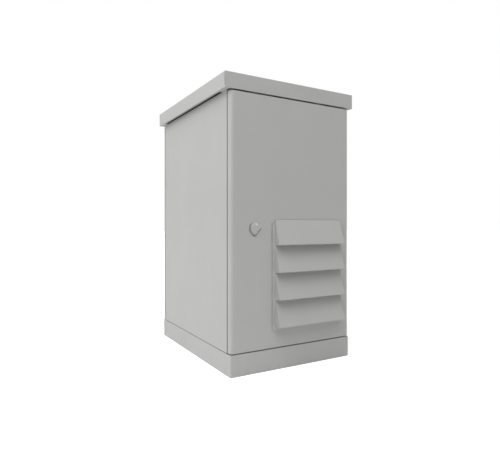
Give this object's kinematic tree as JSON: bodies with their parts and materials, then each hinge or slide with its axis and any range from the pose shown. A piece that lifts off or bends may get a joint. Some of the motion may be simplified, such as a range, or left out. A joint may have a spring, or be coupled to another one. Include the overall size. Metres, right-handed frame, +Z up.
{
  "type": "roadside utility cabinet",
  "caption": "Free-standing outdoor equipment cabinet on a plinth: flat roof cap, hinged rod-locked door with louvre hood, rack rails inside.",
  "frame": {"origin": "middle of the plinth's underside, under the body", "axes": "+Z up, +X to the right seen from the door, +Y from the door to the rear"},
  "size_m": [0.656, 0.828, 1.2],
  "materials": {
    "powder_coat": "fine-textured light grey powder coat",
    "galvanised_steel": "zinc-coated sheet steel",
    "zinc_fasteners": "zinc-plated",
    "foam_rubber": "matte foamed sealing",
    "black_plastic": "moulded",
    "filter_fleece": "non-woven mat",
    "brass_bar": "satin",
    "chrome_wire": "bright"
  },
  "bodies": {
    "cabinet": {"plinth_front": "powder_coat", "plinth_rear": "powder_coat", "plinth_cover_left_front": "powder_coat", "plinth_cover_left_rear": "powder_coat", "plinth_cover_right_front": "powder_coat", "plinth_cover_right_rear": "powder_coat", "plinth_bolts": "zinc_fasteners", "base_pan": "galvanised_steel", "gland_plate": "galvanised_steel", "cable_glands": "black_plastic", "front_frame": "galvanised_steel", "rear_frame": "galvanised_steel", "side_panel_left": "powder_coat", "side_panel_right": "powder_coat", "rear_cover": "powder_coat", "rear_cover_screws": "zinc_fasteners", "top_plate": "galvanised_steel", "roof_cap": "powder_coat", "roof_spacers": "galvanised_steel", "roof_bolts": "zinc_fasteners", "rack_rail_front_left": "galvanised_steel", "rack_rail_front_right": "galvanised_steel", "rack_rail_rear_left": "galvanised_steel", "rack_rail_rear_right": "galvanised_steel", "depth_rails": "galvanised_steel", "earth_bar": "brass_bar", "earth_bar_posts": "black_plastic", "hinge_brackets": "galvanised_steel", "hinge_pins": "zinc_fasteners", "rod_keepers": "galvanised_steel"},
    "door": {"door_leaf": "powder_coat", "door_gasket": "foam_rubber", "hinge_wings": "galvanised_steel", "lock_stiffener": "galvanised_steel", "door_stiffener_upper": "galvanised_steel", "door_stiffener_lower": "galvanised_steel", "louvre_hood": "powder_coat", "hood_gasket": "foam_rubber", "vent_mesh": "galvanised_steel", "filter_mat": "filter_fleece", "filter_frame": "black_plastic", "fan_plate": "galvanised_steel", "fan_housing": "black_plastic", "fan_guard": "chrome_wire", "lock_body": "powder_coat", "lock_nut": "zinc_fasteners", "lock_cover_rivet": "zinc_fasteners", "rod_guides": "galvanised_steel"},
    "lock_turner": {"lock_spindle": "zinc_fasteners", "lock_cam": "galvanised_steel"},
    "dust_cover": {"lock_cover": "powder_coat"},
    "rod_up": {"upper_rod": "galvanised_steel"},
    "rod_down": {"lower_rod": "galvanised_steel"},
    "rotor": {"fan_rotor": "black_plastic"}
  },
  "joints": [
    {"name": "door_hinge", "type": "hinge", "parent": "cabinet", "child": "door", "pos_m": [0.296, -0.378, 0.61], "axis": [0, 0, 1], "range_deg": [0, 110]},
    {"name": "lock_turn", "type": "hinge", "parent": "door", "child": "lock_turner", "pos_m": [-0.189, -0.395, 0.585], "axis": [0, -1, 0], "range_deg": [0, 90]},
    {"name": "upper_rod_slide", "type": "slide", "parent": "door", "child": "rod_up", "axis": [0, 0, 1], "range_m": [0, 0.01979]},
    {"name": "lower_rod_slide", "type": "slide", "parent": "door", "child": "rod_down", "axis": [0, 0, -1], "range_m": [0, 0.01981]},
    {"name": "dust_cover_swing", "type": "hinge", "parent": "door", "child": "dust_cover", "pos_m": [-0.189, -0.3973, 0.602], "axis": [0, -1, 0], "range_deg": [0, 120]},
    {"name": "fan_spin", "type": "hinge", "parent": "door", "child": "rotor", "pos_m": [0.077, -0.345, 0.504], "axis": [0, 1, 0], "continuous": true}
  ],
  "couplings": [
    {"joint": "lock_turn", "follows": "upper_rod_slide", "rad_per_m": 79.337},
    {"joint": "lower_rod_slide", "follows": "upper_rod_slide", "ratio": 1}
  ]
}
